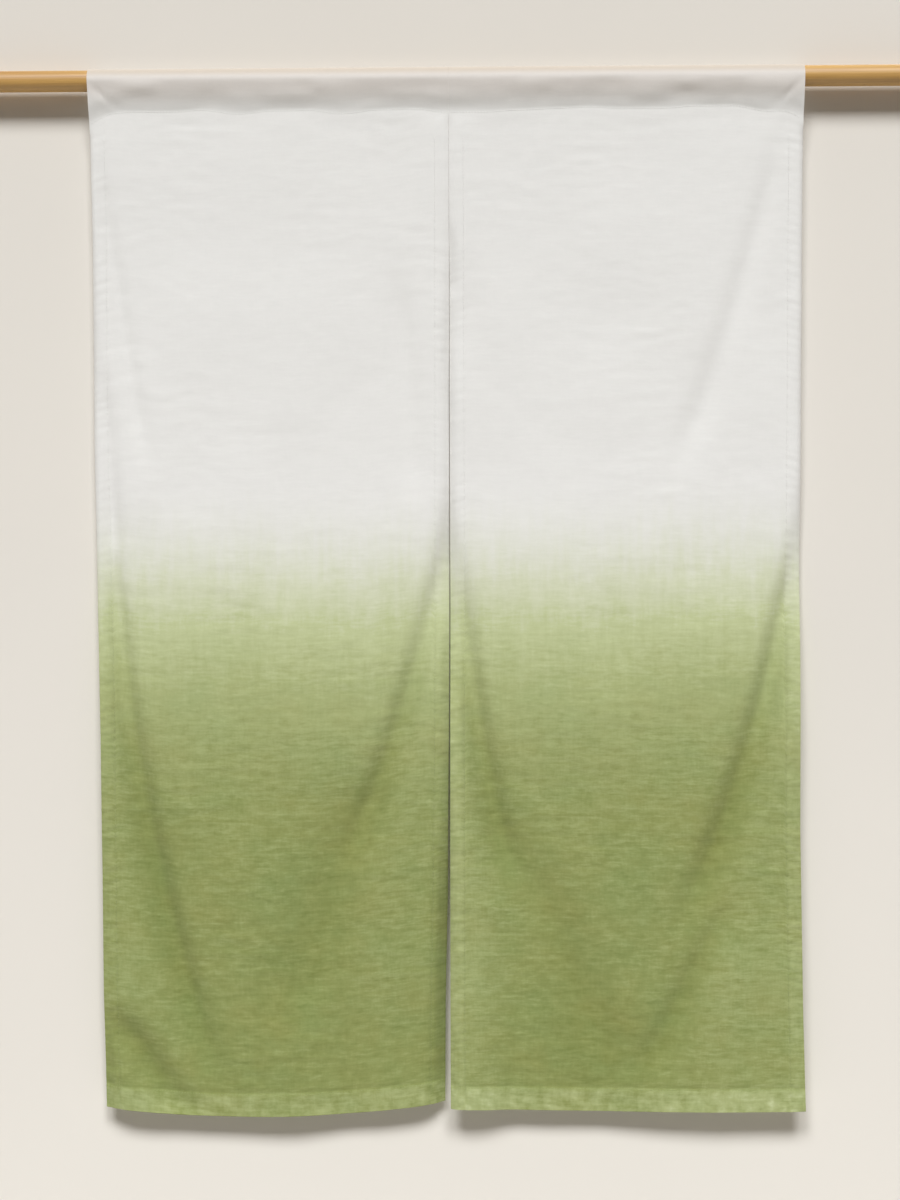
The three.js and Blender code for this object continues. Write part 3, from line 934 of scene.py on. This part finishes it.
class CURTAIN_OT_panels(bpy.types.Operator):
    """Hang the two linen panels on the rod"""

    bl_idname = "curtain.panels"
    bl_label = "Linen Panels"

    def execute(self, context):
        for shape in PANELS:
            self.hang(context, shape)
        return {"FINISHED"}

    def hang(self, context, shape):
        """Make one panel as a closed sheet with turned hems."""
        cloth = context.scene.curtain_cloth
        surface = PanelSurface(shape, cloth)
        grid, hanging_rows = panel_grid(surface)
        rows, columns = grid.shape[:2]
        index = np.arange(rows * columns).reshape(rows, columns)
        corners = (index[:-1, :-1], index[:-1, 1:], index[1:, 1:], index[1:, :-1])
        faces = np.stack(corners, axis=-1).reshape(-1, 4)
        panel = mesh_object("linen_" + shape.node, (grid * MM).reshape(-1, 3).tolist(), faces.tolist())
        self.map_weave(panel.data, *cloth_lengths(grid))
        self.mark(panel.data, "fold_shading_foot_tone", surface.tone(grid[..., 0], -grid[..., 2]))
        self.mark(panel.data, "bloom", painted_hem_light(surface, grid, hanging_rows))
        self.mark(panel.data, "sleeve_shade", sleeve_shade_mask(grid, hanging_rows))
        self.mark(panel.data, "crown_shade", crown_shade_mask(grid))
        self.mark(panel.data, "climb", dye_climb(grid[..., 0]))
        self.thicken(panel, cloth, hem_mask(surface, grid, hanging_rows).ravel())
        material = shared_material("slub_linen", linen_material, context.scene.curtain_dye)
        panel.data.materials.append(material)
        join_body(panel)
        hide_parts(shape.node)

    def map_weave(self, mesh, across, up):
        """Store the lengths across and up the cloth as a map for its weave."""
        corners = np.empty(len(mesh.loops), int)
        mesh.loops.foreach_get("vertex_index", corners)
        lengths = np.stack([across.ravel(), up.ravel()], axis=-1)[corners]
        mesh.uv_layers.new(name="weave").data.foreach_set("uv", lengths.ravel().astype(np.float32))

    def mark(self, mesh, name, values):
        """Store a value for each point of the cloth."""
        layer = mesh.attributes.new(name, "FLOAT", "POINT")
        layer.data.foreach_set("value", values.ravel().astype(np.float32))

    def thicken(self, panel, cloth, hems):
        """Give a panel its thickness to the back, more at the hems, and round its edges."""
        group = panel.vertex_groups.new(name="thickness")
        weights = lerp(cloth.thickness, cloth.hem_thickness, hems) / cloth.hem_thickness
        for weight in np.unique(weights):
            group.add(np.flatnonzero(weights == weight).tolist(), float(weight), "REPLACE")
        solidify = panel.modifiers.new("Thickness", "SOLIDIFY")
        solidify.thickness = cloth.hem_thickness
        solidify.offset = -1
        solidify.vertex_group = "thickness"
        solidify.use_quality_normals = True
        bevel = panel.modifiers.new("Edges", "BEVEL")
        bevel.width = cloth.edge_round
        bevel.segments = 2
        bevel.limit_method = "ANGLE"
        bevel.angle_limit = math.radians(60)
        apply_modifiers(panel)
        bpy.ops.object.shade_smooth()


class CURTAIN_OT_stitching(bpy.types.Operator):
    """Sew the hems and the sleeves"""

    bl_idname = "curtain.stitching"
    bl_label = "Stitching"

    def execute(self, context):
        scene = context.scene
        for shape in PANELS:
            surface = PanelSurface(shape, scene.curtain_cloth)
            lines = stitch_lines(surface, scene.curtain_stitches)
            points, faces = stitch_mesh(lines, scene.curtain_stitches)
            stitches = mesh_object("stitches_" + shape.node, points.tolist(), faces.tolist())
            select_only(stitches)
            bpy.ops.object.shade_smooth()
            material = shared_material("sewing_thread", thread_material, scene.curtain_dye)
            stitches.data.materials.append(material)
            join_body(stitches)
        return {"FINISHED"}


def stitch_lines(surface, stitches):
    """Starts and ends of the stitches on the front of a panel, in metres."""
    half = stitches.stitch / MM / 2
    pitch = stitches.pitch / MM
    top = surface.sleeve_drop + HEM_BELOW_SLEEVE + SLEEVE_END_SAG
    drops = np.arange(top, surface.foot_drop(0.5, 0.0) - surface.foot_hem, pitch)
    places = np.arange(pitch, surface.width - pitch, pitch)
    lines = []
    for shift in (-half, half):
        parts = (places + shift) / surface.width
        points = (
            surface.sheet(0, surface.side_hem, drops + shift),
            surface.sheet(1, -surface.side_hem, drops + shift),
            surface.sheet(parts, 0.0, surface.foot_drop(parts, 0.0) - surface.foot_hem),
            surface.sheet(parts, 0.0, surface.sleeve_foot(parts, 0.0) + SLEEVE_STITCH),
        )
        lines.append(np.concatenate(points) * MM)
    return lines


def stitch_mesh(lines, stitches):
    """Points and faces of small pillow-shaped stitches along the lines."""
    starts, ends = lines
    along = ends - starts
    along /= np.linalg.norm(along, axis=1, keepdims=True)
    out = np.tile([0.0, -1.0, 0.0], (len(along), 1))
    side = np.cross(along, out)
    side /= np.linalg.norm(side, axis=1, keepdims=True)
    thread = stitches.thread
    rings = []
    for part, girth, lift in STITCH_RINGS:
        middle = lerp(starts, ends, part) + out * thread * lift
        across = side * thread * STITCH_HALF_WIDTH * girth
        up = out * thread * STITCH_HALF_HEIGHT * girth
        rings.append(np.stack([middle + across, middle + up, middle - across, middle - up], axis=1))
    points = np.stack(rings, axis=1)
    count = points.shape[1] * points.shape[2]
    corners = np.arange(count).reshape(points.shape[1:3])
    after = np.roll(corners, -1, axis=1)
    sides = np.stack([corners[:-1], after[:-1], after[1:], corners[1:]], axis=-1).reshape(-1, 4)
    faces = np.concatenate([sides, corners[:1, ::-1], corners[-1:]])
    bases = count * np.arange(len(starts))[:, None, None]
    return points.reshape(-1, 3), (faces + bases).reshape(-1, 4)


class CURTAIN_OT_stage(bpy.types.Operator):
    """Set the floor, the backdrop, the lights and the camera"""

    bl_idname = "curtain.stage"
    bl_label = "Stage"

    def execute(self, context):
        settings = context.scene.curtain_stage
        context.scene.view_settings.view_transform = "Standard"
        self.floor(settings)
        self.backdrop(settings)
        self.lights()
        self.air(context.scene)
        self.camera(context.scene, settings)
        return {"FINISHED"}

    def plane(self, name, points, shade, one_sided):
        """A stage plane through four points with a soft mottled finish."""
        plane = mesh_object(name, points, [(0, 1, 2, 3)])
        material, tree, shader = new_material(name, Roughness=0.9, Specular_IOR_Level=0.1)
        place = add_node(tree, "ShaderNodeTexCoord").outputs["Object"]
        tint = add_node(tree, "ShaderNodeRGB")
        tint.outputs[0].default_value = (*shade, 1)
        mottle = spread(tree, noise(tree, place, STAGE_MOTTLE), *STAGE_RANGE)
        tree.links.new(scale_colour(tree, tint.outputs[0], mottle), shader.inputs["Base Color"])
        if one_sided:
            output = tree.nodes["Material Output"]
            facing = add_node(tree, "ShaderNodeNewGeometry").outputs["Backfacing"]
            shadow = add_node(tree, "ShaderNodeLightPath").outputs["Is Shadow Ray"]
            clear = add_node(tree, "ShaderNodeBsdfTransparent")
            mix = add_node(tree, "ShaderNodeMixShader")
            tree.links.new(calculate(tree, "MAXIMUM", facing, shadow), mix.inputs[0])
            tree.links.new(shader.outputs[0], mix.inputs[1])
            tree.links.new(clear.outputs[0], mix.inputs[2])
            tree.links.new(mix.outputs[0], output.inputs["Surface"])
        plane.data.materials.append(material)

    def floor(self, settings):
        """A plain pale floor below the curtain."""
        x, z = STAGE_HALF_WIDTH, -settings.floor_drop
        points = [(-x, FLOOR_FRONT, z), (x, FLOOR_FRONT, z), (x, FLOOR_BACK, z), (-x, FLOOR_BACK, z)]
        self.plane("floor", points, settings.floor, False)

    def backdrop(self, settings):
        """A plain pale backdrop close behind the cloth, clear from behind."""
        x, y, z = STAGE_HALF_WIDTH, settings.wall_gap, -settings.floor_drop
        points = [(-x, y, z), (x, y, z), (x, y, BACKDROP_TOP), (-x, y, BACKDROP_TOP)]
        self.plane("backdrop", points, settings.wall, True)

    def lights(self):
        """A pair of soft lights above the front, and a weaker one above the back."""
        for name, place, power in LIGHTS:
            light = bpy.data.lights.new(name, "SUN")
            light.angle = LIGHT_ANGLE
            light.energy = power
            light.color = LIGHT_COLOUR
            lamp = bpy.data.objects.new(name, light)
            lamp.location = place
            lamp.rotation_euler = (-Vector(place)).to_track_quat("-Z", "Y").to_euler()
            bpy.context.scene.collection.objects.link(lamp)

    def air(self, scene):
        """Even soft light from all round."""
        world = bpy.data.worlds.new("studio")
        scene.world = world
        world.use_nodes = True
        background = world.node_tree.nodes["Background"]
        background.inputs["Color"].default_value = (*AIR_COLOUR, 1)
        background.inputs["Strength"].default_value = AIR_STRENGTH

    def camera(self, scene, settings):
        """A camera square to the cloth but for a slight turn."""
        data = bpy.data.cameras.new("camera")
        data.lens = data.sensor_width * settings.camera_distance / settings.view_height
        camera = bpy.data.objects.new("camera", data)
        aim = Vector((0, 0, -settings.camera_drop))
        back = Vector((math.sin(settings.camera_turn), -math.cos(settings.camera_turn), 0))
        camera.location = aim + back * settings.camera_distance
        camera.rotation_mode = "QUATERNION"
        roll = Quaternion((0, 0, 1), -settings.camera_roll)
        camera.rotation_quaternion = (-back).to_track_quat("-Z", "Y") @ roll
        scene.collection.objects.link(camera)
        scene.camera = camera


class CURTAIN_PT_sidebar(bpy.types.Panel):
    """The curtain's pieces and sizes"""

    bl_idname = "CURTAIN_PT_sidebar"
    bl_label = "Curtain"
    bl_space_type = "VIEW_3D"
    bl_region_type = "UI"
    bl_category = "Curtain"

    def draw(self, context):
        layout = self.layout
        for operator in OPERATORS:
            layout.operator(operator.bl_idname)
        for name in SETTINGS:
            group = getattr(context.scene, name)
            box = layout.box()
            for setting in group.bl_rna.properties:
                if not setting.is_readonly and setting.identifier != "name":
                    box.prop(group, setting.identifier)


SETTINGS = {
    "curtain_cloth": ClothSettings,
    "curtain_stitches": StitchSettings,
    "curtain_dye": DyeSettings,
    "curtain_rod": RodSettings,
    "curtain_stage": StageSettings,
}
OPERATORS = (CURTAIN_OT_stage, CURTAIN_OT_rod, CURTAIN_OT_panels, CURTAIN_OT_stitching)
CLASSES = (*SETTINGS.values(), *OPERATORS, CURTAIN_PT_sidebar)


def register():
    """Add the settings, the operators and the sidebar."""
    for cls in CLASSES:
        bpy.utils.register_class(cls)
    for name, group in SETTINGS.items():
        setattr(bpy.types.Scene, name, bpy.props.PointerProperty(type=group))


def unregister():
    """Remove the settings, the operators and the sidebar."""
    for name in SETTINGS:
        delattr(bpy.types.Scene, name)
    for cls in reversed(CLASSES):
        bpy.utils.unregister_class(cls)


def main():
    """Build the curtain on its stage."""
    register()
    bpy.ops.curtain.stage()
    bpy.ops.curtain.rod()
    bpy.ops.curtain.panels()
    bpy.ops.curtain.stitching()


if __name__ == "__main__":
    main()
